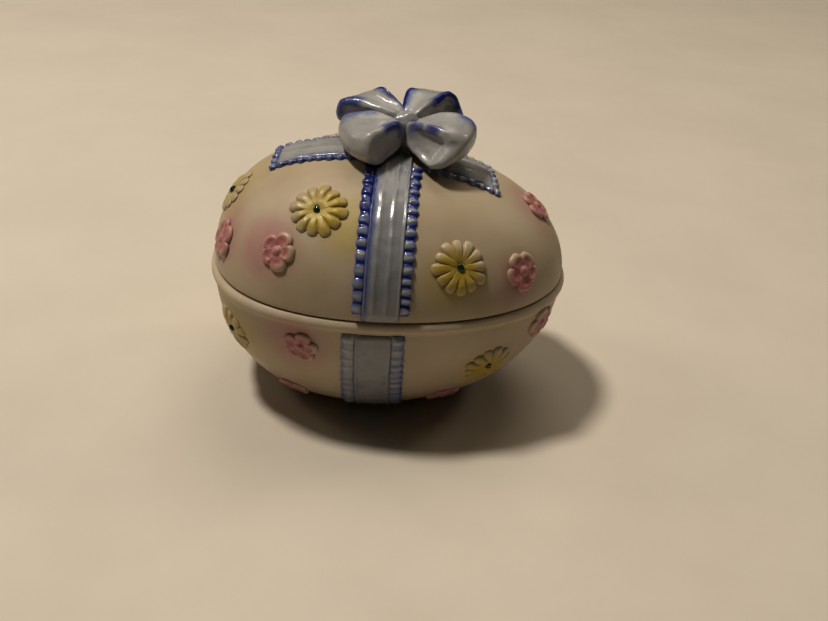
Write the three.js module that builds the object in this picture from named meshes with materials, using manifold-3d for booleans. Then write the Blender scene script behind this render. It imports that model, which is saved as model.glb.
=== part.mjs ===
// Egg-shaped porcelain trinket box: a lift-off lid on a deeper base, both trimmed with applied
// ribbon, picot edging, daisies and blossoms, and a four-loop bow on the lid.
// Millimetres, +Z up. The origin is on the flat foot, under the middle of the egg's length.
// The egg's thick end points to -X, its narrow end to +X, and its front to -Y.

import * as THREE from 'three';
import { mergeVertices } from 'three/addons/utils/BufferGeometryUtils.js';
import Module from 'manifold-3d';

const wasm = await Module();
wasm.setup();

// Driving dimensions of the egg
const HALF_LENGTH = 37.5;
const HALF_WIDTH = 29.1;
const LID_RISE = 23.8; // seam to the crown of the lid
const BASE_DEPTH = 33.6; // seam to the bottom of the whole egg, before the foot is ground flat
const SEAM_HEIGHT = 30; // foot to seam
const TAPER = 0.19; // how much slimmer the +X end is
const FULLNESS = -0.21; // how much fuller both ends are than an ellipse

// Shells
const WALL = 2.6;
const FLOOR_THICKNESS = 3;
const SEAM_GAP = 0.3; // open line between lid and base
const RIM_PROUD = 0.6; // how far the base's rounded rim stands out
const RIM_TALL = 2.2;
const LID_INSET = 0.2; // the lid's edge sits this far inside the egg's outline
const FLANGE_CLEARANCE = 0.5;
const FLANGE_THICKNESS = 1.6;
const FLANGE_TALL = 2.2;
const SHELL_SEGMENTS = 40;

// Applied trim
const SEAT_GAP = 0.15; // between a piece of trim and the surface under it
const RIBBON_THICKNESS = 0.7;
const PICOT_WIDTH = 2;
const PICOT_THICKNESS = 0.9;
const PICOT_GAP = 0.2;
const BEAD_PITCH = 2.7;
const LID_RIBBON = { centre: 0, width: 11.8, thickness: RIBBON_THICKNESS };
const BASE_RIBBON = { centre: -1.2, width: 12.7, thickness: RIBBON_THICKNESS };
const SEAM_MARGIN = 2.5; // degrees around the egg kept clear above and below the seam
const BOW_MARGIN = 13; // degrees either side of the crown that the bow covers
const FOOT_MARGIN = 148; // where the base ribbon ends, in degrees from the crown

const PETAL_SEGMENTS = 2; // facets on each petal's edge
const DAISY = { petals: 12, notch: 0.13, height: 1.5, dish: 0.55 };
const BLOSSOM = { petals: 5, notch: 0.2, height: 1.5, dish: 0.95 };
const EYE_RADIUS = 0.85;
const EYE_HEIGHT = 0.5;

// Bow
const BOW_X = 1.4;
const KNOT_RADIUS = 3.1;
const KNOT_BOTTOM = 24.9;
const KNOT_TOP = 32.8;
const LOOP_START = 1.4;
const LOOP_FULLNESS = 0.6; // 1 is an ellipsoid, less is boxier
const LOOP_FAN_OPEN = 0.95; // greatest half-width over distance from the knot, on the open side
const LOOP_FAN_CLOSE = 0.56; // and on the side where the next loop is
const LOOP_ROOT_HEIGHT = 29;
const LOOP_ROOT_HALF = 3.2;
const KNOT_CLEARANCE = 0.25;

const porcelain = paint('#d9cdbb', 0.55);
const ribbonGlaze = paint('#a9b0bd', 0.35);
const cobalt = paint('#2f4bb4', 0.25);
const daisyYellow = paint('#d6c66a', 0.5);
const blossomPink = paint('#cf8f97', 0.5);
const eyeGreen = paint('#16201a', 0.2);

function paint(color, roughness) {
  return new THREE.MeshStandardMaterial({ color, roughness, metalness: 0 });
}

const radians = THREE.MathUtils.degToRad;

// Squared fullness of the egg's section at a place along its length, 1 in the middle
function slimness(x) {
  const u = x / HALF_LENGTH;
  return 1 + TAPER * u + FULLNESS * u * u;
}

function verticalReach(isLid) {
  return isLid ? LID_RISE : BASE_DEPTH;
}

// Outward unit normal of the egg at a point on it, seam centre at zero
function eggNormal(point) {
  const height = verticalReach(point.z >= 0);
  const section = (point.y / HALF_WIDTH) ** 2 + (point.z / height) ** 2;
  const slim = slimness(point.x);
  const slimChange = TAPER / HALF_LENGTH + (2 * FULLNESS * point.x) / HALF_LENGTH ** 2;
  return new THREE.Vector3(
    (2 * point.x) / HALF_LENGTH ** 2 + section * slimChange,
    (2 * point.y * slim) / HALF_WIDTH ** 2,
    (2 * point.z * slim) / height ** 2,
  ).normalize();
}

// Point on the egg: a distance along its length, and degrees around it from the crown (front is
// negative, the seam is at 90), then lifted off the surface along its normal
function eggPoint(along, around, lift) {
  const radius = Math.sqrt((1 - (along / HALF_LENGTH) ** 2) / slimness(along));
  const angle = radians(around);
  const height = verticalReach(Math.abs(around) <= 90);
  const point = new THREE.Vector3(
    along,
    HALF_WIDTH * radius * Math.sin(angle),
    height * radius * Math.cos(angle),
  );
  return point.addScaledVector(eggNormal(point), lift);
}

// Push a point straight out from the middle of the egg until it meets the surface, then lift it
function settle(point, lift) {
  const height = verticalReach(point.z >= 0);
  const u = point.x / HALF_LENGTH;
  const section = (point.y / HALF_WIDTH) ** 2 + (point.z / height) ** 2;
  let scale = 1;
  for (let step = 0; step < 12; step += 1) {
    scale = 1 / Math.sqrt(u * u + section * slimness(point.x * scale));
  }
  const seated = point.clone().multiplyScalar(scale);
  return seated.addScaledVector(eggNormal(seated), lift);
}

// Volume inside a closed geometry, negative when its faces point inwards
function signedVolume(geometry) {
  const { index, attributes: { position } } = geometry;
  const corners = [new THREE.Vector3(), new THREE.Vector3(), new THREE.Vector3()];
  let volume = 0;
  for (let i = 0; i < index.count; i += 3) {
    corners.forEach((corner, k) => corner.fromBufferAttribute(position, index.getX(i + k)));
    volume += corners[0].dot(corners[1].clone().cross(corners[2])) / 6;
  }
  return volume;
}

// Move every vertex of a geometry by a function, keep its faces pointing outwards where the move
// mirrors it, and leave it ready for shading
function bend(geometry, move) {
  geometry.deleteAttribute('normal');
  geometry.deleteAttribute('uv');
  const merged = mergeVertices(geometry, 1e-4);
  const position = merged.attributes.position;
  const vertex = new THREE.Vector3();
  for (let i = 0; i < position.count; i += 1) {
    vertex.fromBufferAttribute(position, i);
    const moved = move(vertex);
    position.setXYZ(i, moved.x, moved.y, moved.z);
  }
  if (signedVolume(merged) < 0) {
    merged.index.array.reverse();
  }
  merged.computeVertexNormals();
  return merged;
}

function toSolid(geometry) {
  return new wasm.Manifold(new wasm.Mesh({
    numProp: 3,
    vertProperties: Float32Array.from(geometry.attributes.position.array),
    triVerts: Uint32Array.from(geometry.index.array),
  }));
}

function cut(geometry, tool) {
  const mesh = toSolid(geometry).subtract(toSolid(tool)).getMesh();
  const result = new THREE.BufferGeometry();
  result.setAttribute('position', new THREE.BufferAttribute(mesh.vertProperties, 3));
  result.setIndex(new THREE.BufferAttribute(mesh.triVerts, 1));
  result.computeVertexNormals();
  return result;
}

function add(group, name, geometry, material) {
  const mesh = new THREE.Mesh(geometry, material);
  mesh.name = name;
  group.add(mesh);
}

// Turn a closed profile of (radius, height) points into an egg-shaped shell
function eggShell(profile) {
  const lathe = new THREE.LatheGeometry(profile, SHELL_SEGMENTS).rotateX(Math.PI / 2);
  return bend(lathe, (v) => {
    const swell = 1 / Math.sqrt(slimness(v.x));
    return new THREE.Vector3(v.x, v.y * (HALF_WIDTH / HALF_LENGTH) * swell, v.z * swell);
  });
}

// Quarter-ellipse profile points, from the rim towards the axis
function domeProfile(radius, height, from, steps) {
  const points = [];
  for (let step = 0; step <= steps; step += 1) {
    const angle = THREE.MathUtils.lerp(from, Math.PI / 2, step / steps);
    const onAxis = step === steps;
    points.push(new THREE.Vector2(onAxis ? 0 : radius * Math.cos(angle), height * Math.sin(angle)));
  }
  return points;
}

function lidShell() {
  const flangeOuter = HALF_LENGTH - WALL - FLANGE_CLEARANCE;
  const flangeInner = flangeOuter - FLANGE_THICKNESS;
  const outer = domeProfile(HALF_LENGTH - LID_INSET, LID_RISE, 0.05, 9).reverse();
  const inner = domeProfile(flangeInner, LID_RISE - WALL, 0, 8);
  const profile = [
    ...outer,
    new THREE.Vector2(HALF_LENGTH - LID_INSET - 0.3, SEAM_GAP / 2),
    new THREE.Vector2(flangeOuter, SEAM_GAP / 2),
    new THREE.Vector2(flangeOuter, -FLANGE_TALL),
    new THREE.Vector2(flangeInner, -FLANGE_TALL),
    ...inner,
  ];
  return eggShell(profile);
}

function baseShell() {
  const well = SEAM_HEIGHT - FLOOR_THICKNESS;
  const outer = domeProfile(HALF_LENGTH, -BASE_DEPTH, Math.asin(RIM_TALL / BASE_DEPTH), 10).reverse();
  const inner = domeProfile(HALF_LENGTH - WALL, -well, 0.02, 8);
  const rimEdge = HALF_LENGTH + RIM_PROUD;
  const profile = [
    ...outer,
    new THREE.Vector2(rimEdge, -0.8 * RIM_TALL),
    new THREE.Vector2(rimEdge - 0.15 * RIM_PROUD, -0.45 * RIM_TALL),
    new THREE.Vector2(rimEdge - RIM_PROUD, -SEAM_GAP / 2),
    new THREE.Vector2(HALF_LENGTH - WALL, -SEAM_GAP / 2),
    ...inner,
  ];
  const footCut = new THREE.BoxGeometry(3 * HALF_LENGTH, 3 * HALF_LENGTH, BASE_DEPTH);
  const lowered = bend(footCut, (v) => v.clone().setZ(v.z - SEAM_HEIGHT - BASE_DEPTH / 2));
  return cut(eggShell(profile), lowered);
}

// A flat strip laid around the egg: x runs along the egg, y is degrees around it
function ribbonBand(ribbon, from, to) {
  const steps = Math.ceil(Math.abs(to - from) / 7);
  const width = ribbon.width - 2 * (PICOT_WIDTH + PICOT_GAP);
  const strip = new THREE.BoxGeometry(width, Math.abs(to - from), ribbon.thickness, 2, steps, 1);
  const middle = (from + to) / 2;
  return bend(strip, (v) => {
    const lift = SEAT_GAP + ribbon.thickness / 2 + v.z;
    return eggPoint(ribbon.centre + v.x, middle + v.y, lift);
  });
}

// A bead's height and outward bulge, from 0 between beads to 1 on a bead
function beadWave(phase) {
  return Math.abs(Math.sin(Math.PI * phase));
}

// The beaded edge of a ribbon, laid around the egg beside it; side is -1 for -X and 1 for +X
function picotEdge(ribbon, side, from, to) {
  const arcLength = radians(Math.abs(to - from)) * HALF_WIDTH;
  const beads = Math.round(arcLength / BEAD_PITCH);
  const strip = new THREE.BoxGeometry(1, 1, 1, 1, 3 * beads, 1);
  return bend(strip, (v) => {
    const progress = v.y + 0.5;
    const bead = beadWave(progress * beads);
    const outward = v.x > 0 ? PICOT_WIDTH - 0.45 * (1 - bead) : 0;
    const inner = ribbon.width / 2 - PICOT_WIDTH;
    const top = PICOT_THICKNESS - 0.35 * (1 - bead);
    const lift = SEAT_GAP + (v.z > 0 ? top : 0);
    const along = ribbon.centre + side * (inner + outward);
    const around = THREE.MathUtils.lerp(from, to, side > 0 ? progress : 1 - progress);
    return eggPoint(along, around, lift);
  });
}

// A point on the lid straight above a place in plan, lifted off the surface
function drape(x, y, lift) {
  const reach = (1 - (x / HALF_LENGTH) ** 2) / slimness(x) - (y / HALF_WIDTH) ** 2;
  const point = new THREE.Vector3(x, y, LID_RISE * Math.sqrt(reach));
  return point.addScaledVector(eggNormal(point), lift);
}

// A loose end of the bow, lying along the lid from the ribbon out to its cut end
function tailBody(tail) {
  const strip = new THREE.BoxGeometry(1, 1, RIBBON_THICKNESS, 5, 4, 1);
  return bend(strip, (v) => tailPoint(tail, v.x + 0.5, v.y * tail.width, v.z + RIBBON_THICKNESS / 2));
}

// progress runs 0 to 1 from the bow to the cut end, across is measured from the tail's middle
function tailPoint(tail, progress, across, lift) {
  const slant = tail.slant * (across / tail.width);
  const x = THREE.MathUtils.lerp(tail.start, tail.end + slant, progress);
  const y = across + THREE.MathUtils.lerp(tail.startY, tail.endY, progress);
  return drape(x, y, SEAT_GAP + lift);
}

// The beaded trim along one long edge of a tail, standing beside it
function tailEdge(tail, side) {
  const beads = Math.round(Math.abs(tail.end - tail.start) / BEAD_PITCH);
  const strip = new THREE.BoxGeometry(1, 1, 1, 3 * beads, 1, 1);
  return bend(strip, (v) => {
    const bead = beadWave((v.x + 0.5) * beads);
    const outer = v.y > 0 === side > 0;
    const across = side * (tail.width / 2 + PICOT_GAP + (outer ? 1.1 + 0.4 * bead : 0));
    const lift = v.z > 0 ? PICOT_THICKNESS - 0.35 * (1 - bead) : 0;
    return tailPoint(tail, v.x + 0.5, across, lift);
  });
}

// The beaded hem across a tail's cut end
function tailHem(tail) {
  const beads = Math.round((tail.width + 2) / BEAD_PITCH);
  const strip = new THREE.BoxGeometry(1, 1, 1, 1, 3 * beads, 1);
  const direction = Math.sign(tail.end - tail.start);
  const spanWidth = tail.width + 2 * (PICOT_GAP + 1.1);
  return bend(strip, (v) => {
    const bead = beadWave((v.y + 0.5) * beads);
    const outer = v.x > 0 === direction > 0;
    const across = v.y * spanWidth;
    const reach = PICOT_GAP + (outer ? 1.1 + 0.4 * bead : 0);
    const lift = v.z > 0 ? PICOT_THICKNESS - 0.35 * (1 - bead) : 0;
    const length = Math.abs(tail.end + tail.slant * (across / tail.width) - tail.start);
    return tailPoint(tail, 1 + reach / length, across, lift);
  });
}

// A flower seated on the egg, with its petals as lobes around a dished middle
function flower(kind, place) {
  const profile = [
    new THREE.Vector2(0, 0),
    new THREE.Vector2(place.radius * 0.5, 0),
    new THREE.Vector2(place.radius, 0),
    new THREE.Vector2(place.radius * 0.97, kind.height * 0.55),
    new THREE.Vector2(place.radius * 0.62, kind.height),
    new THREE.Vector2(place.radius * 0.2, kind.height * kind.dish),
    new THREE.Vector2(0, kind.height * kind.dish),
  ];
  const segments = kind.petals * PETAL_SEGMENTS;
  const lathe = new THREE.LatheGeometry(profile, segments).rotateX(Math.PI / 2);
  const frame = seatFrame(place);
  return bend(lathe, (v) => {
    const turn = Math.atan2(v.y, v.x);
    const lobe = 1 - kind.notch + kind.notch * Math.cos(kind.petals * (turn - Math.PI / 2));
    const spread = Math.hypot(v.x, v.y) > place.radius * 0.3 ? lobe : 1;
    return seat(frame, v.x * spread, v.y * spread, v.z);
  });
}

// The dark bead in the middle of a daisy
function daisyEye(place) {
  const bottom = DAISY.height * DAISY.dish + SEAT_GAP;
  const profile = [
    new THREE.Vector2(0, bottom),
    new THREE.Vector2(EYE_RADIUS, bottom),
    new THREE.Vector2(EYE_RADIUS * 0.7, bottom + EYE_HEIGHT * 0.75),
    new THREE.Vector2(0, bottom + EYE_HEIGHT),
  ];
  const lathe = new THREE.LatheGeometry(profile, 8).rotateX(Math.PI / 2);
  const frame = seatFrame(place);
  return bend(lathe, (v) => seat(frame, v.x, v.y, v.z));
}

// The tangent frame where a flower sits, turned so that its petals start at place.turn degrees
function seatFrame(place) {
  const centre = eggPoint(place.along, place.around, 0);
  const normal = eggNormal(centre);
  const across = new THREE.Vector3(1, 0, 0).addScaledVector(normal, -normal.x).normalize();
  across.applyAxisAngle(normal, radians(place.turn));
  return { centre, across, up: normal.clone().cross(across) };
}

function seat(frame, u, v, lift) {
  const point = frame.centre.clone();
  point.addScaledVector(frame.across, u);
  point.addScaledVector(frame.up, v);
  return settle(point, SEAT_GAP + lift);
}

// Everything that meets in the middle of the bow, gathered and standing on the ribbon
function knotBody(radius, bottom, top) {
  const ball = new THREE.SphereGeometry(1, 14, 8).rotateX(Math.PI / 2);
  return bend(ball, (v) => {
    const height = THREE.MathUtils.mapLinear(v.z, -1, 1, bottom, top);
    return new THREE.Vector3(BOW_X + v.x * radius, v.y * radius * 0.8, height);
  });
}

// One full, rounded loop of the bow, pointing out from the knot. It fans out to its full width,
// more freely on its open side, which is where no other loop lies close.
function bowLoop(loop) {
  const pillow = new THREE.SphereGeometry(1, 14, 10).rotateZ(-Math.PI / 2);
  const angle = radians(loop.heading);
  const geometry = bend(pillow, (v) => {
    const progress = (v.x + 1) / 2;
    const section = Math.hypot(v.y, v.z);
    const fuller = section > 1e-6 ? section ** (LOOP_FULLNESS - 1) : 0;
    const reach = THREE.MathUtils.lerp(LOOP_START, loop.reach, progress);
    const fan = v.y * loop.openSide > 0 ? LOOP_FAN_OPEN : LOOP_FAN_CLOSE;
    const across = v.y * fuller * Math.min(loop.halfWidth, fan * reach);
    const middle = THREE.MathUtils.lerp(LOOP_ROOT_HEIGHT, (loop.bottom + loop.top) / 2, progress);
    const halfHeight = THREE.MathUtils.lerp(LOOP_ROOT_HALF, (loop.top - loop.bottom) / 2, progress);
    return new THREE.Vector3(
      BOW_X + reach * Math.cos(angle) - across * Math.sin(angle),
      reach * Math.sin(angle) + across * Math.cos(angle),
      middle + v.z * fuller * halfHeight,
    );
  });
  const knotRoom = knotBody(KNOT_RADIUS + KNOT_CLEARANCE, KNOT_BOTTOM - 1, KNOT_TOP + 1);
  return cut(geometry, knotRoom);
}

const lidFlowers = [
  { name: 'lid_daisy_front_left', kind: DAISY, along: -14.1, around: -40, radius: 5.8, turn: 8 },
  { name: 'lid_daisy_front_right', kind: DAISY, along: 14.7, around: -61.4, radius: 5.6, turn: 0 },
  { name: 'lid_daisy_left_end', kind: DAISY, along: -33.2, around: -10, radius: 4.8, turn: 12 },
  { name: 'lid_daisy_back_left', kind: DAISY, along: -19, around: 62, radius: 5.6, turn: 5 },
  { name: 'lid_daisy_back_right', kind: DAISY, along: 16, around: 46, radius: 5.6, turn: 10 },
  { name: 'lid_blossom_front_left', kind: BLOSSOM, along: -21.1, around: -60.5, radius: 3.8, turn: 30 },
  { name: 'lid_blossom_front_right', kind: BLOSSOM, along: 27.5, around: -61.7, radius: 4.1, turn: 100 },
  { name: 'lid_blossom_left_end', kind: BLOSSOM, along: -33.6, around: -56, radius: 4, turn: 50 },
  { name: 'lid_blossom_right_end', kind: BLOSSOM, along: 30.4, around: 0, radius: 4, turn: 80 },
  { name: 'lid_blossom_back_left', kind: BLOSSOM, along: -14, around: 32, radius: 3.8, turn: 20 },
  { name: 'lid_blossom_back_right', kind: BLOSSOM, along: 26, around: 68, radius: 3.8, turn: 65 },
];

const baseFlowers = [
  { name: 'base_daisy_front_right', kind: DAISY, along: 22.6, around: -121, radius: 5.4, turn: 4 },
  { name: 'base_daisy_left_end', kind: DAISY, along: -31.2, around: -121, radius: 5.4, turn: 9 },
  { name: 'base_daisy_back_left', kind: DAISY, along: -21, around: 118, radius: 5.4, turn: 3 },
  { name: 'base_daisy_back_right', kind: DAISY, along: 27, around: 124, radius: 5.4, turn: 11 },
  { name: 'base_blossom_front_left', kind: BLOSSOM, along: -15.7, around: -104, radius: 3.7, turn: 40 },
  { name: 'base_blossom_right_end', kind: BLOSSOM, along: 33, around: -113, radius: 3.9, turn: 15 },
  { name: 'base_blossom_low_left', kind: BLOSSOM, along: -18.5, around: -141, radius: 3.7, turn: 70 },
  { name: 'base_blossom_low_right', kind: BLOSSOM, along: 14, around: -143, radius: 3.9, turn: 25 },
  { name: 'base_blossom_back_right', kind: BLOSSOM, along: 14, around: 106, radius: 3.7, turn: 85 },
];

const tails = [
  { name: 'left', start: -7.2, end: -24, startY: 0.6, endY: 0.9, width: 9.6, slant: 0 },
  { name: 'right', start: 7.2, end: 19.6, startY: -0.4, endY: -0.2, width: 9.6, slant: -1.6 },
];

const bowLoops = [
  { name: 'front_left', heading: -150, reach: 13.4, halfWidth: 5.8, openSide: 1, bottom: 24.3, top: 32.4 },
  { name: 'front_right', heading: -25, reach: 14.3, halfWidth: 5.8, openSide: -1, bottom: 24.4, top: 33.4 },
  { name: 'back_left', heading: 140, reach: 14.6, halfWidth: 5.3, openSide: -1, bottom: 26, top: 36.4 },
  { name: 'back_right', heading: 58, reach: 14.2, halfWidth: 5.3, openSide: -1, bottom: 26.2, top: 36.7 },
];

const edgeSides = [
  { name: 'left', side: -1 },
  { name: 'right', side: 1 },
];

function addFlowers(group, flowers) {
  for (const place of flowers) {
    const isDaisy = place.kind === DAISY;
    add(group, place.name, flower(place.kind, place), isDaisy ? daisyYellow : blossomPink);
    if (isDaisy) {
      add(group, `${place.name}_eye`, daisyEye(place), eyeGreen);
    }
  }
}

function addPicots(group, prefix, ribbon, bow, end) {
  for (const { name, side } of edgeSides) {
    add(group, `${prefix}_picot_front_${name}`, picotEdge(ribbon, side, -bow, -end), cobalt);
    add(group, `${prefix}_picot_back_${name}`, picotEdge(ribbon, -side, bow, end), cobalt);
  }
}

const lid = new THREE.Group();
lid.position.z = SEAM_HEIGHT;
add(lid, 'lid_shell', lidShell(), porcelain);
add(lid, 'lid_ribbon', ribbonBand(LID_RIBBON, -90 + SEAM_MARGIN, 90 - SEAM_MARGIN), ribbonGlaze);
addPicots(lid, 'lid', LID_RIBBON, BOW_MARGIN, 90 - SEAM_MARGIN);
for (const tail of tails) {
  add(lid, `tail_${tail.name}`, tailBody(tail), ribbonGlaze);
  add(lid, `tail_${tail.name}_edge_front`, tailEdge(tail, -1), cobalt);
  add(lid, `tail_${tail.name}_edge_back`, tailEdge(tail, 1), cobalt);
  add(lid, `tail_${tail.name}_hem`, tailHem(tail), cobalt);
}
for (const loop of bowLoops) {
  add(lid, `bow_loop_${loop.name}`, bowLoop(loop), ribbonGlaze);
}
add(lid, 'bow_knot', knotBody(KNOT_RADIUS, KNOT_BOTTOM, KNOT_TOP), ribbonGlaze);
addFlowers(lid, lidFlowers);

const base = new THREE.Group();
base.position.z = SEAM_HEIGHT;
add(base, 'base_shell', baseShell(), porcelain);
const rimMargin = 90 + 2 * SEAM_MARGIN;
add(base, 'base_ribbon_front', ribbonBand(BASE_RIBBON, -FOOT_MARGIN, -rimMargin), ribbonGlaze);
add(base, 'base_ribbon_back', ribbonBand(BASE_RIBBON, rimMargin, FOOT_MARGIN), ribbonGlaze);
addPicots(base, 'base', BASE_RIBBON, rimMargin, FOOT_MARGIN);
addFlowers(base, baseFlowers);

const group = new THREE.Group();
group.add(lid, base);

export default group;
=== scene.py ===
# Egg-shaped porcelain trinket box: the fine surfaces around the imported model.
# Shapes are worked out in millimetres with the seam's middle at zero, and made in metres.
import math

import bpy
import numpy as np
from mathutils import Matrix, Quaternion, Vector, noise


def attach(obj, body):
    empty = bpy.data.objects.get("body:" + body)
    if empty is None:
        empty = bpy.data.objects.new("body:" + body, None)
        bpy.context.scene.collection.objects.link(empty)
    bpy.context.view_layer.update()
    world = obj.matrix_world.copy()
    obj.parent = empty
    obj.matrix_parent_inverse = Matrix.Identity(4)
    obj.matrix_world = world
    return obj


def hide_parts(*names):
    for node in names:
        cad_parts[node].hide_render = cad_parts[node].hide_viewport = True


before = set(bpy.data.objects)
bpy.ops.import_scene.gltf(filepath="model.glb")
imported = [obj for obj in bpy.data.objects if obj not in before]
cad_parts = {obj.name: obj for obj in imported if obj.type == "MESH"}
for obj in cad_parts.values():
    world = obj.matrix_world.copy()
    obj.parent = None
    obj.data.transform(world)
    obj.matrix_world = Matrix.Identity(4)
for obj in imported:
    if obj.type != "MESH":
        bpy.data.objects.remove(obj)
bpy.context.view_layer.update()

MM = 0.001
NOISE_SEED = 4
noise.seed_set(NOISE_SEED)  # noise_vector is otherwise seeded by the clock

# The egg, as in the CAD model
HALF_LENGTH = 37.5
HALF_WIDTH = 29.1
LID_RISE = 23.8
BASE_DEPTH = 33.6
SEAM_HEIGHT = 30.0
TAPER = 0.19
FULLNESS = -0.21
SETTLE_STEPS = 14  # rounds of bringing a point onto the egg

# Shells
WALL = 2.6
FLOOR_THICKNESS = 3.0
SEAM_GAP = 0.3
SEAM_OFFSET = SEAM_GAP / 3  # from the middle of the seam to each rim
RIM_PROUD = 0.6  # how far the base's rounded rim stands out
RIM_TALL = 2.2
LID_INSET = 0.2  # the lid's edge sits this far inside the egg's outline
FLANGE_CLEARANCE = 0.5
FLANGE_THICKNESS = 1.6
FLANGE_TALL = 2.2
SHELL_SEGMENTS = 256
NEAR_AXIS = 89  # degrees above or below the rim, where a shell's curve gives way to its point on the axis
LID_DIRT_AND_SHADE = 0.45  # dirt and painted shade darkening the seam, on the lid and on the base
BASE_DIRT_AND_SHADE = 0.7
# dirt and painted shade under the base's rim
UNDER_RIM_DIRT_AND_SHADE = 0.15
RIM_HIGHLIGHT = 0.75  # how strongly a highlight is painted on the rim's crest

# Ribbons and their beaded edges; a ribbon's width takes in both of its edges
SINK = -0.12  # how far the foot of a sprig is pressed into the surface under it
RIBBON_LIFT = 0.6
LID_RIBBON = {"centre": -0.05, "width": 11.6}
BASE_RIBBON = {"centre": -1.2, "width": 12.7}
PICOT_WIDTH = 2.3
BEAD_PITCH = {"left": 3.0, "right": 2.6}
BASE_PICOT_WIDTH = 2.8
BASE_BEAD_PITCH = {"left": 2.2, "right": 2.1}
FIELD_OVERLAP = 0.3  # how much wider a flat field is than the space between its edges
SEAM_MARGIN = 2.3  # degrees round the egg
BOW_MARGIN = 11.0  # degrees from the crown to where the beaded edges start, under the bow
FOOT_MARGIN = 148.0  # degrees from the crown to where the base's ribbon ends
BEAD_LENGTHS = (0.8, 1.25)  # shortest and longest bead against the pitch
BEAD_SIZES = (0.75, 1.15)  # flattest and fullest bead
BEADING_COLUMNS = 17
FIELD_COLUMNS = 49
LID_FIELD_ROWS = 181
BASE_FIELD_ROWS = 81
TAIL_FIELD_ROWS = 61
ROWS_PER_BEAD = 14

# Tails; start and end are places along the egg, start_y and end_y how far back the tail's middle lies
# there, slant how far the cut end leans, and blue the amount of cobalt on the beaded trim
TAILS = {
    "left": {
        "start": -5.9, "end": -24.0, "start_y": 0.6, "end_y": 0.9, "width": 9.6, "slant": 0.0, "blue": 0.8,
    },
    "right": {
        "start": 5.9, "end": 19.6, "start_y": -0.4, "end_y": -0.2, "width": 9.6, "slant": -1.6, "blue": 0.56,
    },
}
TRIM_WIDTH = 1.5
TRIM_PITCH = 2.1
TRIM_BEAD_HEIGHT = 0.4
TRIM_SCALLOP = 0.5
TRIM_ROWS_PER_BEAD = 12

# Bow; the knot's place is from the middle of the bow
BOW_X = 1.4
LOOP_ROOT = 0.6
KNOT_PLACE = (0.1, 0.4)
KNOT_RADII = (2.7, 2.5)
KNOT_BOTTOM = 24.9
KNOT_TOP = 32.4
KNOT_ROWS = 40
KNOT_COLUMNS = 72

# Eyes of the daisies
EYE_RADIUS = 0.78
EYE_RISE = 0.45  # half of what the drop's top stands over the egg
EYE_ROWS = 16
EYE_COLUMNS = 28


# ---------------------------------------------------------------- the egg's surface

def smoothstep(low, high, value):
    t = np.clip((value - low) / (high - low), 0, 1)
    return t * t * (3 - 2 * t)


def slimness(x):
    u = x / HALF_LENGTH
    return 1 + TAPER * u + FULLNESS * u * u


def egg_normal(points):
    x, y, z = points[..., 0], points[..., 1], points[..., 2]
    height = np.where(z >= 0, LID_RISE, BASE_DEPTH)
    section = (y / HALF_WIDTH) ** 2 + (z / height) ** 2
    slim = slimness(x)
    slim_change = TAPER / HALF_LENGTH + 2 * FULLNESS * x / HALF_LENGTH ** 2
    normal = np.stack([
        2 * x / HALF_LENGTH ** 2 + section * slim_change,
        2 * y * slim / HALF_WIDTH ** 2,
        2 * z * slim / height ** 2,
    ], -1)
    return normal / np.linalg.norm(normal, axis=-1, keepdims=True)


def lifted(points, lift):
    return points + egg_normal(points) * np.asarray(lift)[..., None]


def egg_point(along, around, lift):
    """Places on the egg: millimetres along it, degrees round it from the crown (front negative)."""
    along, around, lift = np.broadcast_arrays(along, around, lift)
    radius = np.sqrt(np.clip(1 - (along / HALF_LENGTH) ** 2, 0, None) / slimness(along))
    angle = np.radians(around)
    height = np.where(np.abs(around) <= 90, LID_RISE, BASE_DEPTH)
    points = np.stack([
        along.astype(float),
        HALF_WIDTH * radius * np.sin(angle),
        height * radius * np.cos(angle),
    ], -1)
    return lifted(points, lift)


def settle(points, lift):
    """Push points straight out from the egg's middle onto its surface, then lift them."""
    x, y, z = points[..., 0], points[..., 1], points[..., 2]
    height = np.where(z >= 0, LID_RISE, BASE_DEPTH)
    section = (y / HALF_WIDTH) ** 2 + (z / height) ** 2
    scale = np.ones_like(x)
    for _ in range(SETTLE_STEPS):
        scale = 1 / np.sqrt((x / HALF_LENGTH) ** 2 + section * slimness(x * scale))
    return lifted(points * scale[..., None], lift)


def drape(x, y, lift):
    """Places on the lid straight above a plan position."""
    x, y, lift = np.broadcast_arrays(x, y, lift)
    reach = (1 - (x / HALF_LENGTH) ** 2) / slimness(x) - (y / HALF_WIDTH) ** 2
    points = np.stack([x, y, LID_RISE * np.sqrt(np.clip(reach, 0, None))], -1).astype(float)
    return lifted(points, lift)


# ---------------------------------------------------------------- mesh making

def hash_seed(text):
    """A number that depends on a name alone, so that each piece keeps its own random draws."""
    return sum((i + 1) * ord(c) for i, c in enumerate(text)) % 9973


def wobble(points, scale, amount, seed):
    """Soft random offsets along all axes, the same every run."""
    flat = points.reshape(-1, 3)
    offset = Vector((seed * 3.7, seed * 1.9, seed * 5.3))
    moves = [noise.noise_vector(Vector(p) * scale + offset) for p in flat]
    return (flat + amount * np.array(moves)).reshape(points.shape)


def ring_faces(rows, columns):
    """Quads between neighbouring rings of points."""
    faces = []
    for r in range(rows - 1):
        here, above = r * columns, (r + 1) * columns
        for c in range(columns):
            d = (c + 1) % columns
            faces.append((here + c, here + d, above + d, above + c))
    return faces


def closed_rings(grid):
    """A grid whose rows are rings, closed at both ends by a point in the middle of the end ring."""
    rows, columns = grid.shape[:2]
    points = np.concatenate([grid.reshape(-1, 3), grid[0].mean(0)[None], grid[-1].mean(0)[None]])
    faces = ring_faces(rows, columns)
    first, last = rows * columns, rows * columns + 1
    end = (rows - 1) * columns
    for c in range(columns):
        d = (c + 1) % columns
        faces.append((first, d, c))
        faces.append((last, end + c, end + d))
    return points, faces


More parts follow.
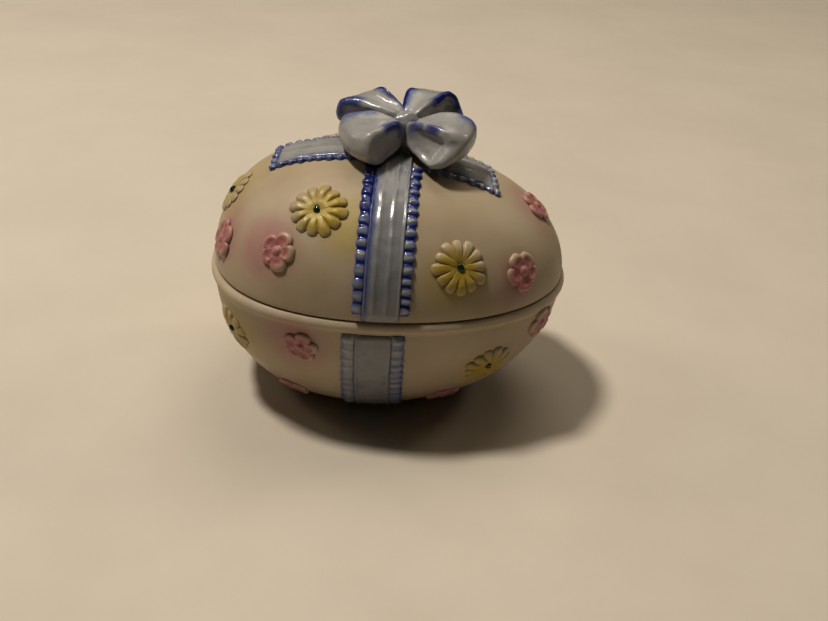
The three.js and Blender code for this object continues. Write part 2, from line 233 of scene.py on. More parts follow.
def ring_values(values):
    """Values per vertex of closed_rings, from values per grid point."""
    return np.concatenate([values.reshape(-1), [values[0].mean(), values[-1].mean()]])


def make_piece(name, points, faces, body, material, nodes, attributes=None):
    mesh = bpy.data.meshes.new(name)
    placed = (points + np.array([0, 0, SEAM_HEIGHT])) * MM
    mesh.from_pydata(placed.tolist(), [], faces)
    mesh.update()
    volume = 0.0
    for polygon in mesh.polygons:
        volume += polygon.center.dot(polygon.normal) * polygon.area
    if volume < 0:
        mesh.flip_normals()
    for polygon in mesh.polygons:
        polygon.use_smooth = True
    for key, values in (attributes or {}).items():
        layer = mesh.attributes.new(key, "FLOAT", "POINT")
        layer.data.foreach_set("value", np.asarray(values, np.float32))
    mesh.materials.append(material)
    piece = bpy.data.objects.new(name, mesh)
    bpy.context.scene.collection.objects.link(piece)
    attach(piece, body)
    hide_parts(*nodes)


# ---------------------------------------------------------------- materials

class Shader:
    """A Principled material with short ways to add the nodes it needs."""

    def __init__(self, name, roughness, **uniform):
        self.material = bpy.data.materials.new(name)
        self.material.use_nodes = True
        self.tree = self.material.node_tree
        self.principled = self.tree.nodes["Principled BSDF"]
        self.principled.inputs["Roughness"].default_value = roughness
        for key, value in uniform.items():
            self.principled.inputs[key.replace("_", " ")].default_value = value
        self.place = self.tree.nodes.new("ShaderNodeTexCoord").outputs["Object"]

    def link(self, source, target):
        self.tree.links.new(source, target)

    def noise(self, size_mm, detail=3.0, roughness=0.55):
        node = self.tree.nodes.new("ShaderNodeTexNoise")
        node.inputs["Scale"].default_value = 1 / (size_mm * MM)
        node.inputs["Detail"].default_value = detail
        node.inputs["Roughness"].default_value = roughness
        self.link(self.place, node.inputs["Vector"])
        return node.outputs["Fac"]

    def attribute(self, name):
        node = self.tree.nodes.new("ShaderNodeAttribute")
        node.attribute_name = name
        return node.outputs["Fac"]

    def remap(self, value, low, high, to_low=0.0, to_high=1.0, smooth=True):
        node = self.tree.nodes.new("ShaderNodeMapRange")
        node.interpolation_type = "SMOOTHSTEP" if smooth else "LINEAR"
        self.link(value, node.inputs["Value"])
        limits = {"From Min": low, "From Max": high, "To Min": to_low, "To Max": to_high}
        for key, number in limits.items():
            node.inputs[key].default_value = number
        return node.outputs["Result"]

    def uneven(self, size_mm, low, high, detail=3.0):
        """A value that drifts between low and high over patches of about this size."""
        return self.remap(self.noise(size_mm, detail), 0.3, 0.7, low, high)

    def math(self, operation, a, b):
        node = self.tree.nodes.new("ShaderNodeMath")
        node.operation = operation
        node.use_clamp = operation != "SUBTRACT"
        for socket, value in zip(node.inputs, (a, b)):
            if isinstance(value, (int, float)):
                socket.default_value = value
            else:
                self.link(value, socket)
        return node.outputs["Value"]

    def mix(self, factor, a, b):
        node = self.tree.nodes.new("ShaderNodeMix")
        node.data_type = "RGBA"
        colours = [s for s in node.inputs if s.type == "RGBA"]
        self.link(factor, node.inputs[0])
        for socket, value in zip(colours, (a, b)):
            if isinstance(value, tuple):
                socket.default_value = (*value, 1)
            else:
                self.link(value, socket)
        return next(s for s in node.outputs if s.type == "RGBA")

    def bump(self, height, depth_mm, strength=1.0, under=None):
        node = self.tree.nodes.new("ShaderNodeBump")
        node.inputs["Strength"].default_value = strength
        node.inputs["Distance"].default_value = depth_mm * MM
        self.link(height, node.inputs["Height"])
        if under:
            self.link(under, node.inputs["Normal"])
        return node.outputs["Normal"]

    def finish(self, colour, roughness, normal):
        self.link(colour, self.principled.inputs["Base Color"])
        self.link(roughness, self.principled.inputs["Roughness"])
        self.link(normal, self.principled.inputs["Normal"])
        return self.material


IVORY = (0.54, 0.455, 0.335)
IVORY_WARM = (0.49, 0.40, 0.28)
# colour of the painted highlight on the rim's crest
IVORY_HIGHLIGHT = (0.74, 0.64, 0.51)
IVORY_SPECK = (0.30, 0.22, 0.15)
# colour of the dirt and painted shade in the seam and under the rim
SEAM_DIRT_AND_SHADE = (0.30, 0.21, 0.13)
PINK = (0.50, 0.23, 0.235)
PINK_BLUSH = (0.50, 0.27, 0.265)
PINK_GROOVE = (0.42, 0.11, 0.11)
YELLOW = (0.47, 0.35, 0.04)
YELLOW_BLUSH = (0.50, 0.40, 0.13)
YELLOW_GROOVE = (0.36, 0.25, 0.04)
ENAMEL_BLACK = (0.006, 0.02, 0.01)
ENAMEL_GREEN = (0.02, 0.055, 0.02)
RIBBON_PALE = (0.435, 0.43, 0.42)
RIBBON_GREY = (0.30, 0.305, 0.315)
RIBBON_COOL = (0.265, 0.275, 0.305)
COBALT = (0.010, 0.024, 0.205)
COBALT_WASH = (0.16, 0.19, 0.36)
FLOOR_PALE = (0.70, 0.65, 0.575)
FLOOR_CLOUDED = (0.67, 0.62, 0.545)
BACKDROP = (0.41, 0.355, 0.27)
GLOW = (1.0, 0.66, 0.34)
GLOW_STRENGTH = 0.008
PORCELAIN_IOR = 1.48
GLAZE_IOR = 1.5


def bisque_body(shader):
    """The pale porcelain under every painted colour, with faint clouding and kiln specks."""
    clouds = shader.remap(shader.noise(14, 3), 0.35, 0.7)
    colour = shader.mix(clouds, IVORY, IVORY_WARM)
    specks = shader.remap(shader.noise(0.9, 2, 0.7), 0.735, 0.79, 0, 0.35)
    return shader.mix(specks, colour, IVORY_SPECK)


def bisque_grain(shader):
    coarse = shader.bump(shader.noise(3.2, 3), 0.05, 0.5)
    return shader.bump(shader.noise(0.35, 4, 0.65), 0.012, 0.6, coarse)


def shell_material():
    shader = Shader("ivory_bisque", 0.5, Subsurface_Weight=0.12, Subsurface_Scale=0.002, IOR=PORCELAIN_IOR)
    shader.principled.inputs["Subsurface Radius"].default_value = (1.0, 0.7, 0.45)
    colour = bisque_body(shader)
    mottle = shader.remap(shader.noise(2.6, 4, 0.6), 0.25, 0.75, 0.65, 1.0)
    # one layer darkens the seam and under the rim with dirt and painted shade
    # one layer paints a highlight on the rim's crest
    layers = {"pink": PINK_BLUSH, "yellow": YELLOW_BLUSH, "rim_highlight": IVORY_HIGHLIGHT, "dirt_and_shade": SEAM_DIRT_AND_SHADE}
    for key, tint in layers.items():
        amount = shader.math("MULTIPLY", shader.attribute(key), mottle)
        colour = shader.mix(amount, colour, tint)
    return shader.finish(colour, shader.uneven(5, 0.42, 0.56), bisque_grain(shader))


def petal_material(name, scatter, mottle, petal, groove_depth, groove_colour):
    """Painted petals on bare porcelain, with thin patches of the size and strength in mottle."""
    shader = Shader(name, 0.45, Subsurface_Weight=0.1, Subsurface_Scale=0.0015, IOR=PORCELAIN_IOR)
    shader.principled.inputs["Subsurface Radius"].default_value = scatter
    size_mm, weakest = mottle
    paint = shader.math("MULTIPLY", shader.attribute("paint"), shader.uneven(size_mm, weakest, 1.0))
    colour = shader.mix(paint, bisque_body(shader), petal)
    groove = shader.math("MULTIPLY", shader.attribute("groove"), groove_depth)
    colour = shader.mix(groove, colour, groove_colour)
    return shader.finish(colour, shader.uneven(2, 0.34, 0.5), bisque_grain(shader))


def eye_material():
    shader = Shader("dark_green_enamel", 0.12, Coat_Weight=0.6, Coat_Roughness=0.06)
    clouds = shader.remap(shader.noise(0.5, 2), 0.35, 0.65)
    colour = shader.mix(clouds, ENAMEL_BLACK, ENAMEL_GREEN)
    roughness = shader.uneven(0.6, 0.08, 0.2, 2)
    return shader.finish(colour, roughness, shader.bump(shader.noise(0.5, 2), 0.03, 0.6))


def ribbon_material(name, gloss):
    """Grey-blue glaze that turns to brushed cobalt wherever the blue attribute rises."""
    shader = Shader(name, 0.3, Coat_Weight=gloss, Coat_Roughness=0.12, IOR=GLAZE_IOR)
    tone = shader.remap(shader.noise(4, 3), 0.35, 0.68)
    colour = shader.mix(tone, RIBBON_GREY, RIBBON_COOL)
    pale = shader.math("MULTIPLY", shader.attribute("pale"), shader.uneven(3, 0.7, 1.0))
    colour = shader.mix(pale, colour, RIBBON_PALE)
    brush = shader.noise(1.1, 4, 0.65)
    blue = shader.attribute("blue")
    brushed = shader.math("MULTIPLY", blue, shader.remap(brush, 0.25, 0.75, 0.7, 1.3))
    wash = shader.remap(brushed, 0.05, 0.55)
    strong_edge = shader.math("SUBTRACT", blue, shader.remap(brush, 0.3, 0.7, 0.5, 0.75, False))
    strong = shader.remap(strong_edge, -0.05, 0.35)
    colour = shader.mix(wash, colour, COBALT_WASH)
    colour = shader.mix(strong, colour, COBALT)
    soft = shader.bump(shader.noise(1.9, 2), 0.08, 0.8)
    fine = shader.bump(shader.noise(0.45, 3), 0.03, 0.8, soft)
    return shader.finish(colour, shader.uneven(1.8, 0.26, 0.42), fine)


def floor_material():
    shader = Shader("pale_floor", 0.8)
    colour = shader.mix(shader.uneven(40, 0.0, 1.0), FLOOR_PALE, FLOOR_CLOUDED)
    roughness = shader.uneven(20, 0.75, 0.85, 2)
    return shader.finish(colour, roughness, shader.bump(shader.noise(0.8, 3), 0.03, 0.5))


SHELL = shell_material()
DAISY = petal_material("yellow_bisque", (1.0, 0.7, 0.4), (1.4, 0.8), YELLOW, 0.55, YELLOW_GROOVE)
BLOSSOM = petal_material("pink_bisque", (1.0, 0.6, 0.5), (1.2, 0.75), PINK, 0.5, PINK_GROOVE)
EYE = eye_material()
RIBBON = ribbon_material("ribbon_glaze", 0.28)
COBALT_ENAMEL = ribbon_material("cobalt_enamel", 0.5)


# ---------------------------------------------------------------- shells

def lathe(profile):
    """A closed egg-shaped shell from (radius, height) points that start and end on the axis."""
    turn = np.linspace(0, 2 * math.pi, SHELL_SEGMENTS, endpoint=False)
    inner = np.array(profile[1:-1])
    x = inner[:, :1] * np.cos(turn)
    y = inner[:, :1] * np.sin(turn) * HALF_WIDTH / HALF_LENGTH
    swell = 1 / np.sqrt(slimness(x))
    grid = np.stack([x, y * swell, inner[:, 1:] * swell], -1)
    points, faces = closed_rings(grid)
    points[-2] = (0, 0, profile[0][1])
    points[-1] = (0, 0, profile[-1][1])
    return points, faces


def arc(radius, height, start, stop, steps):
    """Quarter-ellipse points between two angles in degrees, rim at 0 and axis at 90."""
    angles = np.radians(np.linspace(start, stop, steps))
    return [(abs(radius * math.cos(a)), height * math.sin(a)) for a in angles]


def blush(points, flowers):
    """Airbrushed colour on the outside of a shell around each flower, as pink and yellow amounts."""
    amounts = {"pink": np.zeros(len(points)), "yellow": np.zeros(len(points))}
    outside = np.linalg.norm(points - settle(points, np.zeros(len(points))), axis=1) < WALL / 3
    for flower in flowers:
        key = FLOWERS[flower["kind"]]["spray"]
        along, up, reach, strength = flower["blush"]
        offset = flower["side"] * along + flower["up"] * up
        distance = np.linalg.norm(points - (flower["centre"] + offset), axis=1)
        fading = smoothstep(0.25, 1, distance / (flower["radius"] * reach))
        amounts[key] = np.maximum(amounts[key], strength * outside * (1 - fading))
    return amounts


def make_lid_shell(flowers):
    flange_outer = HALF_LENGTH - WALL - FLANGE_CLEARANCE
    flange_inner = flange_outer - FLANGE_THICKNESS
    edge = HALF_LENGTH - LID_INSET
    ease = 0.15  # round the flange's root
    chamfer_in, chamfer_up = 0.3, 0.4
    profile = [(0, LID_RISE)]
    profile += arc(edge, LID_RISE, NEAR_AXIS, 2, 90)
    profile += [(edge - 0.02, 0.5), (edge - 0.08, 0.28)]
    profile += [(edge - 0.25, SEAM_OFFSET + 0.02), (edge - 0.7, SEAM_OFFSET)]
    profile += [(flange_outer + ease, SEAM_OFFSET), (flange_outer, SEAM_OFFSET - ease)]
    profile += [(flange_outer, -FLANGE_TALL + chamfer_up), (flange_outer - chamfer_in, -FLANGE_TALL)]
    profile += [(flange_inner + chamfer_in, -FLANGE_TALL), (flange_inner, -FLANGE_TALL + chamfer_up)]
    profile += arc(flange_inner, LID_RISE - WALL, 0, NEAR_AXIS, 60)
    profile += [(0, LID_RISE - WALL)]
    points, faces = lathe(profile)
    attributes = blush(points, flowers)
    # dirt and painted shade: the lid darkens towards its edge in the seam
    attributes["dirt_and_shade"] = LID_DIRT_AND_SHADE * (1 - smoothstep(0.05, 0.5, points[:, 2]))
    attributes["rim_highlight"] = np.zeros(len(points))
    make_piece("porcelain_lid", points, faces, "lid", SHELL, ["lid_shell"], attributes)


def make_base_shell(flowers):
    rim = HALF_LENGTH + RIM_PROUD
    inner = HALF_LENGTH - WALL
    well = SEAM_HEIGHT - FLOOR_THICKNESS
    foot_angle = math.degrees(math.asin(SEAM_HEIGHT / BASE_DEPTH))
    past_foot = foot_angle - 12  # from here up to the rim the curve is finer
    rim_angle = 5.2
    profile = [(0, -BASE_DEPTH)]
    profile += arc(HALF_LENGTH, -BASE_DEPTH, NEAR_AXIS, past_foot, 40)
    profile += arc(HALF_LENGTH, -BASE_DEPTH, past_foot - 0.5, rim_angle, 70)
    profile += [(HALF_LENGTH - 0.02, -RIM_TALL - 0.5), (HALF_LENGTH + 0.15, -RIM_TALL)]
    profile += [(rim - 0.15, -RIM_TALL + 0.35), (rim - 0.02, -RIM_TALL + 0.65)]
    profile += [(rim - 0.01, -RIM_TALL + 0.85)]
    profile += [(rim - 0.1, -0.95), (rim - 0.28, -0.6), (rim - 0.5, -0.36), (rim - 0.72, -0.22)]
    profile += [(rim - 0.95, -SEAM_OFFSET)]
    profile += [(inner + 0.4, -SEAM_OFFSET), (inner + 0.1, -0.3), (inner, -0.7)]
    profile += arc(inner, -well, 2, NEAR_AXIS, 60)
    profile += [(0, -well)]
    points, faces = lathe(profile)
    points[:, 2] = np.maximum(points[:, 2], -SEAM_HEIGHT)  # the foot is ground flat
    attributes = blush(points, flowers)
    height = points[:, 2]
    # dirt and painted shade under the rim's bulge and in the seam
    under_rim = np.exp(-((height + RIM_TALL + 0.7) / 0.5) ** 2)
    in_seam = smoothstep(-0.24, -0.12, height)
    attributes["dirt_and_shade"] = np.maximum(UNDER_RIM_DIRT_AND_SHADE * under_rim, BASE_DIRT_AND_SHADE * in_seam)
    # painted highlight along the rim's crest
    attributes["rim_highlight"] = RIM_HIGHLIGHT * np.exp(-((height + 0.75) / 0.55) ** 2)
    make_piece("porcelain_base", points, faces, "base", SHELL, ["base_shell"], attributes)


# ---------------------------------------------------------------- ribbons

def strip(place, rows, profile):
    """A strip's sections as a grid; place(progress, across, lift) puts each point along a path."""
    progress = np.linspace(0, 1, rows)[:, None]
    across, lift = profile(progress)
    return place(progress + 0 * across, across, lift)


def over_and_under(across, top, bottom):
    """Join a row of top points, inner to outer, with a row of bottom points coming back."""
    back = across[:, ::-1]
    low = np.full_like(back, bottom)
    return np.concatenate([across, back], 1), np.concatenate([top, low], 1)


def eased_ends(progress):
    """Thins a strip softly at both of its ends."""
    return 0.3 + 0.7 * smoothstep(0, 0.025, np.minimum(progress, 1 - progress))


def field_profile(width, ribs, hem=0.0):
    """A ribbon's flat field with ribs as (place, breadth, height); hem raises beads across its far end."""
    def profile(progress):
        u = np.linspace(-1, 1, FIELD_COLUMNS)[None, :] + 0 * progress
        rise = RIBBON_LIFT + 0.04 * np.sin(progress * 17) + 0 * u  # laid on by hand, so not quite even
        for middle, breadth, height in ribs:
            rise = rise + height * np.exp(-((u - middle) / breadth) ** 2)
        rise = rise + hem * smoothstep(0.93, 0.97, progress) * np.cos(u * width * 1.9)
        rise = rise * (0.25 + 0.75 * smoothstep(0, 0.07, 1 - np.abs(u))) * eased_ends(progress)
        return over_and_under(u * width / 2, rise, SINK)
    return profile


def bead_crest(progress, beads, seed):
    """How near each place along a beaded edge is to the top of its bead, with the bead's own size."""
    random = np.random.default_rng(seed)
    lengths = random.uniform(*BEAD_LENGTHS, beads)
    sizes = random.uniform(*BEAD_SIZES, beads)
    ends = np.cumsum(lengths) / lengths.sum()
    index = np.minimum(np.searchsorted(ends, progress), beads - 1)
    starts = np.concatenate([[0], ends[:-1]])
    phase = np.clip((progress - starts[index]) / (ends[index] - starts[index]), 0, 1)
    return np.sin(math.pi * phase) ** 1.5, sizes[index]


def beading_profile(side, inner, width, beads, height, scallop, seed):
    """A row of soft beads along a ribbon's edge, from its inner side outwards; scallop cuts its outline."""
    def profile(progress):
        u = np.linspace(0, 1, BEADING_COLUMNS)[None, :] + 0 * progress
        crest, size = bead_crest(progress, beads, seed)
        reach = width - scallop * (1 - crest * size)
        dome = np.clip(1 - (2 * u - 1) ** 2, 0, 1) ** 0.42
        ripple = 0.05 * np.sin(progress * beads * 13 + 2 * u)
        rise = 0.1 + dome * (0.42 + height * (crest * size - 0.3 * u) + ripple) * eased_ends(progress)
        return over_and_under(side * (inner + u * reach), rise, SINK)
    return profile


def over_and_back(shape, start):
    """Shares of the way along a strip, and across it from start to 1 on top and back underneath."""
    rows, columns = shape
    top = np.linspace(start, 1, columns // 2)
    return np.linspace(0, 1, rows)[:, None], np.concatenate([top, top[::-1]])[None, :]


def beading_blue(beads, tint, seed):
    """Cobalt lies in the hollows and on the outer side, and wears off the beads' inner tops.

    Of tint, amount is the cobalt at the start, fade what is lost by the end and edge what the outer
    side has more; bare is what the tops lack, and bare_gain what they lack more further along."""
    def blue(shape):
        progress, u = over_and_back(shape, 0)
        crest, size = bead_crest(progress, beads, seed)
        outer = tint["edge"] * smoothstep(0.6, 0.95, u)
        paint = tint["amount"] - tint["fade"] * progress + outer + 0.25 * (size - 1)
        worn = tint["bare"] + tint["bare_gain"] * smoothstep(0.15, 0.55, progress)
        return np.clip(paint - worn * crest ** 1.5 * (1 - 0.35 * u), 0, 1)
    return blue


def make_strip(name, place, rows, profile, body, material, nodes, blue, pale=0.0):
    grid = wobble(strip(place, rows, profile), 0.45, 0.12, hash_seed(name) % 13)
    points, faces = closed_rings(grid)
    attributes = {"blue": ring_values(blue(grid.shape[:2])), "pale": np.full(len(points), pale)}
    make_piece(name, points, faces, body, material, nodes, attributes)


def band_place(ribbon, start, stop):
    def place(progress, across, lift):
        return egg_point(ribbon["centre"] + across, start + (stop - start) * progress, lift)
    return place


def field_blue(left, right):
    """Blue wash along the two sides of a ribbon's field, strongest halfway along it."""
    def blue(shape):
        progress, u = over_and_back(shape, -1)
        halfway = 1 - 0.6 * np.abs(2 * progress - 1) ** 0.7
        sides = left * smoothstep(-0.5, -0.9, u) + right * smoothstep(0.7, 1, u)
        return np.clip(sides * halfway, 0, 1)
    return blue


def make_band(prefix, ribbon, edge, pitch, start, stop, face, tint, height):
    """The two beaded edges of one run of ribbon, from start to stop in degrees from the crown."""
    inner = ribbon["width"] / 2 - edge
    turn = -1 if face == "front" else 1
    for side, word in ((-1, "left"), (1, "right")):
        beads = round(math.radians(stop - start) * HALF_WIDTH / pitch[word])
        seed = hash_seed(prefix + face + word)
        make_strip(
            f"{prefix}_beading_{face}_{word}", band_place(ribbon, turn * start, turn * stop),
            beads * ROWS_PER_BEAD + 1, beading_profile(side, inner, edge, beads, height, 1.2 * height, seed),
            prefix, COBALT_ENAMEL, [f"{prefix}_picot_{face}_{word}"],
            beading_blue(beads, tint[word], seed), pale=0.6,
        )


def make_lid_ribbon():
    width = LID_RIBBON["width"] - 2 * PICOT_WIDTH + FIELD_OVERLAP
    end = 90 - SEAM_MARGIN / 2
    ribs = [(-0.42, 0.13, 0.16), (0.28, 0.12, 0.15), (-0.9, 0.07, 0.22), (0.9, 0.07, 0.2)]
    make_strip(
        "lid_ribbon_field", band_place(LID_RIBBON, -end, end), LID_FIELD_ROWS, field_profile(width, ribs),
        "lid", RIBBON, ["lid_ribbon"], field_blue(1.15, 0.2),
    )
    tint = {
        "left": {"amount": 1.2, "fade": 0.3, "edge": 0.1, "bare": 0.05, "bare_gain": 0.95},
        "right": {"amount": 1.1, "fade": 0.1, "edge": 0.2, "bare": 0.8, "bare_gain": 0.4},
    }
    stop = 90 - 2 * SEAM_MARGIN
    for face in ("front", "back"):
        make_band("lid", LID_RIBBON, PICOT_WIDTH, BEAD_PITCH, BOW_MARGIN, stop, face, tint, 0.33)


def make_base_ribbon():
    width = BASE_RIBBON["width"] - 2 * BASE_PICOT_WIDTH + FIELD_OVERLAP
    start = 90 + 2 * SEAM_MARGIN
    ribs = [(-0.85, 0.08, 0.16), (0.9, 0.07, 0.08)]
    tint = {
        "left": {"amount": 0.26, "fade": 0.0, "edge": 0.35, "bare": 0.2, "bare_gain": 0.0},
        "right": {"amount": 0.44, "fade": 0.0, "edge": 0.4, "bare": 0.36, "bare_gain": 0.0},
    }
    pitch = BASE_BEAD_PITCH
    for face, turn in (("front", -1), ("back", 1)):
        make_strip(
            f"base_ribbon_field_{face}", band_place(BASE_RIBBON, turn * start, turn * FOOT_MARGIN),
            BASE_FIELD_ROWS, field_profile(width, ribs, hem=0.2),
            "base", RIBBON, [f"base_ribbon_{face}"], field_blue(0.25, 0.2),
        )
        make_band("base", BASE_RIBBON, BASE_PICOT_WIDTH, pitch, start, FOOT_MARGIN, face, tint, 0.2)


def tail_place(tail):
    """Lay a strip along a tail: across is measured from the tail's middle towards the back."""
    def place(progress, across, lift):
        end = tail["end"] + tail["slant"] * across / tail["width"]
        x = tail["start"] + (end - tail["start"]) * progress
        y = across + tail["start_y"] + (tail["end_y"] - tail["start_y"]) * progress
        return drape(x, y, lift)
    return place


def hem_place(tail):
    """Lay a strip across a tail's cut end: progress runs across it, across runs outwards."""
    outward = math.copysign(1, tail["end"] - tail["start"])
    span = tail["width"] + 2 * TRIM_WIDTH

    def place(progress, across, lift):
        y = (progress - 0.5) * span
        x = tail["end"] + tail["slant"] * y / tail["width"] + outward * across
        return drape(x, y + tail["end_y"], lift)
    return place


def make_trim(name, place, length, side, inner, blue, seed, node):
    """A row of beads along one side or the cut end of a tail."""
    beads = round(length / TRIM_PITCH)
    tint = {"amount": blue, "fade": 0.0, "edge": 0.1, "bare": 0.5, "bare_gain": 0.0}
    make_strip(
        name, place, beads * TRIM_ROWS_PER_BEAD + 1,
        beading_profile(side, inner, TRIM_WIDTH, beads, TRIM_BEAD_HEIGHT, TRIM_SCALLOP, seed),
        "lid", COBALT_ENAMEL, [node], beading_blue(beads, tint, seed), pale=0.7,
    )


def make_tails():
    ribs = [(0.3, 0.1, 0.16), (-0.25, 0.12, 0.14)]
    for word, tail in TAILS.items():
        make_strip(
            f"tail_{word}_field", tail_place(tail), TAIL_FIELD_ROWS,
            field_profile(tail["width"] + FIELD_OVERLAP, ribs),
            "lid", RIBBON, [f"tail_{word}"], field_blue(0.45, 0.45), pale=1.0,
        )
        for side, face in ((-1, "front"), (1, "back")):
            make_trim(
                f"tail_{word}_beading_{face}", tail_place(tail), abs(tail["end"] - tail["start"]),
                side, tail["width"] / 2, tail["blue"], hash_seed(word + face), f"tail_{word}_edge_{face}",
            )
        make_trim(
            f"tail_{word}_hem_beading", hem_place(tail), tail["width"] + 2 * TRIM_WIDTH,
            1, 0.0, tail["blue"], hash_seed(word + "hem"), f"tail_{word}_hem",
        )


# ---------------------------------------------------------------- bow

# Each pair is (right side, left side) as seen looking out along the loop's heading.
# reach: length from the knot along each side; spread: how far each side of the top is from the middle
# per millimetre of reach; skirt: how much more that is at the bottom; root_top, top and bottom: heights
# at the knot and at the outer end; dent: depth of the hollow in the side, as a share of the half-width;
# paint: cobalt patches, as (side, from, to, amount) with side -1 or 1 and from and to as shares of the reach
LOOPS = {
    "front_left": {
        "heading": -150, "reach": (13.2, 13.4), "spread": (0.48, 0.42), "skirt": (0.0, 0.08), "bottom": 23.9,
        "root_top": 31.9, "top": (31.7, 31.0), "dent": (0.1, 0.12),
        "paint": ((1, 0.1, 0.48, 0.8), (-1, 0.3, 1.0, 0.45)),
    },
    "front_right": {
        "heading": -25, "reach": (13.9, 14.5), "spread": (0.14, 0.5), "skirt": (0.32, 0.0), "bottom": 23.9,
        "root_top": 31.9, "top": (31.3, 32.6), "dent": (0.23, 0.1),
        "paint": ((-1, 0.12, 0.34, 0.6), (-1, 0.42, 0.66, 0.7), (1, 0.72, 1.1, 0.55)),
    },
    "back_left": {
        "heading": 140, "reach": (12.2, 16.0), "spread": (0.07, 0.34), "skirt": (0.0, 0.0), "bottom": 26.0,
        "root_top": 33.1, "top": (34.7, 32.7), "dent": (0.1, 0.15),
        "paint": ((1, 0.55, 1.1, 0.72), (-1, 0.1, 1.0, 0.95)),
    },
    "back_right": {
        "heading": 58, "reach": (15.4, 11.6), "spread": (0.24, 0.48), "skirt": (0.2, 0.0), "bottom": 26.2,
        "root_top": 33.1, "top": (34.9, 34.2), "dent": (0.16, 0.1),
        "paint": ((-1, 0.35, 1.0, 0.85), (1, 0.1, 1.0, 0.9)),
    },
}
# Half of a loop's section, from the middle of the ribbon over its edge to the middle of the side:
# (place across, share of the way in towards the middle of the loop, share of the dent)
LOOP_SECTION = [
    (0.0, 0.0, 0.0), (0.2, 0.0, 0.0), (0.4, 0.0, 0.0), (0.56, 0.0, 0.0), (0.7, 0.005, 0.0), (0.8, 0.015, 0.0),
    (0.88, 0.04, 0.0), (0.94, 0.08, 0.0), (0.98, 0.13, 0.0), (1.0, 0.19, 0.0), (1.0, 0.25, 0.1),
    (1.0, 0.31, 0.3), (1.0, 0.37, 0.55), (1.0, 0.44, 0.78), (1.0, 0.54, 0.93), (1.0, 0.67, 1.0),
    (1.0, 0.83, 1.0),
]
LOOP_COLUMNS = 120
LOOP_MIDDLE = 0.15  # where the sides close in to, from -1 at the knot to 1 at the outer end
ROOT_BOTTOM = 25.4
ROOT_HALF_WIDTH = 1.6
RIM_CURL = 0.45
CREASE_DEPTH = 0.45
STRAY_BLUE = 0.08  # a breath of cobalt all over each loop


def by_side(pair, t):
    """A value between a loop's right (t = -1) and left (t = 1) values."""
    return pair[0] + (pair[1] - pair[0]) * (t + 1) / 2


def loop_grid(loop, seed):
    """Rows go over the ribbon from one side to the other; columns go round the loop."""
    sides = [(-across, inset, dent) for across, inset, dent in LOOP_SECTION[:0:-1]] + LOOP_SECTION
    t = np.array([s[0] for s in sides])[:, None]
    inset = np.array([s[1] for s in sides])[:, None]
    dent = np.array([s[2] for s in sides])[:, None] * np.where(t > 0, loop["dent"][1], loop["dent"][0])
    angle = np.linspace(0, 2 * math.pi, LOOP_COLUMNS, endpoint=False)[None, :]
    squareness = np.where(np.sin(angle) > 0, 0.72, 0.7)
    out = np.sign(np.cos(angle)) * np.abs(np.cos(angle)) ** squareness
    up = np.sign(np.sin(angle)) * np.abs(np.sin(angle)) ** squareness
    out = LOOP_MIDDLE + (out - LOOP_MIDDLE) * (1 - inset)
    up = up * (1 - inset)
    progress = (out + 1) / 2
    tuck = 1 - 0.04 * smoothstep(0.1, -1, up) * smoothstep(0.3, 1, progress)
    corner = (1.9 + 0.2 * smoothstep(0.2, -0.8, up)) * t ** 2 * smoothstep(0.4, 1, progress)
    reach = (LOOP_ROOT + (by_side(loop["reach"], t) - LOOP_ROOT) * progress) * tuck - corner
    spread = np.where(t > 0, loop["spread"][1], loop["spread"][0])
    skirt = np.where(t > 0, loop["skirt"][1], loop["skirt"][0])
    half = ROOT_HALF_WIDTH + (spread + skirt * smoothstep(0.5, -0.7, up)) * reach
    half = half * (1 - 0.15 * smoothstep(-0.2, -1, up) * smoothstep(0.5, 1, progress))
    across = t * (1 - dent * smoothstep(0.05, 0.35, progress)) * half
    ease = smoothstep(0, 0.7, progress)
    outer_top = by_side(loop["top"], t)
    top = loop["root_top"] + (outer_top - loop["root_top"]) * ease
    low = ROOT_BOTTOM + (loop["bottom"] - ROOT_BOTTOM) * ease
    upper = smoothstep(-0.1, 0.6, up)
    on_rim = np.exp(-((np.abs(t) - 0.85) / 0.2) ** 2) * np.clip(1 - 3 * inset, 0, 1)
    rim_curl = RIM_CURL * on_rim * upper * smoothstep(0.1, 0.5, progress)
    crease = -CREASE_DEPTH * np.exp(-(t / 0.4) ** 2) * upper * smoothstep(0.9, 0.25, progress)
    height = (top + low) / 2 + up * (top - low) / 2 + rim_curl + crease
    heading = math.radians(loop["heading"])
    grid = np.stack([
        BOW_X + reach * math.cos(heading) - across * math.sin(heading),
        reach * math.sin(heading) + across * math.cos(heading),
        height,
    ], -1)
    grid = wobble(wobble(grid, 0.25, 0.35, seed), 0.7, 0.1, seed + 20)
    edge = smoothstep(0.35, 0.85, np.abs(t)) * smoothstep(0.42, 0.16, inset) * smoothstep(-0.5, 0.2, up)
    blue = 0 * progress
    for side, start, stop, amount in loop["paint"]:
        begun = smoothstep(start - 0.07, start + 0.07, progress)
        window = begun * smoothstep(stop + 0.08, stop - 0.08, progress)
        blue = np.maximum(blue, amount * window * (t * side > 0))
    return grid, np.clip(STRAY_BLUE + blue * edge, 0, 1)


def make_bow():
    for number, (word, loop) in enumerate(LOOPS.items()):
        grid, blue = loop_grid(loop, number + 1)
        points, faces = closed_rings(grid)
        make_piece(
            f"bow_{word}", points, faces, "lid", RIBBON, [f"bow_loop_{word}"],
            {"blue": ring_values(blue), "pale": np.ones(len(points))},
        )
    make_knot()


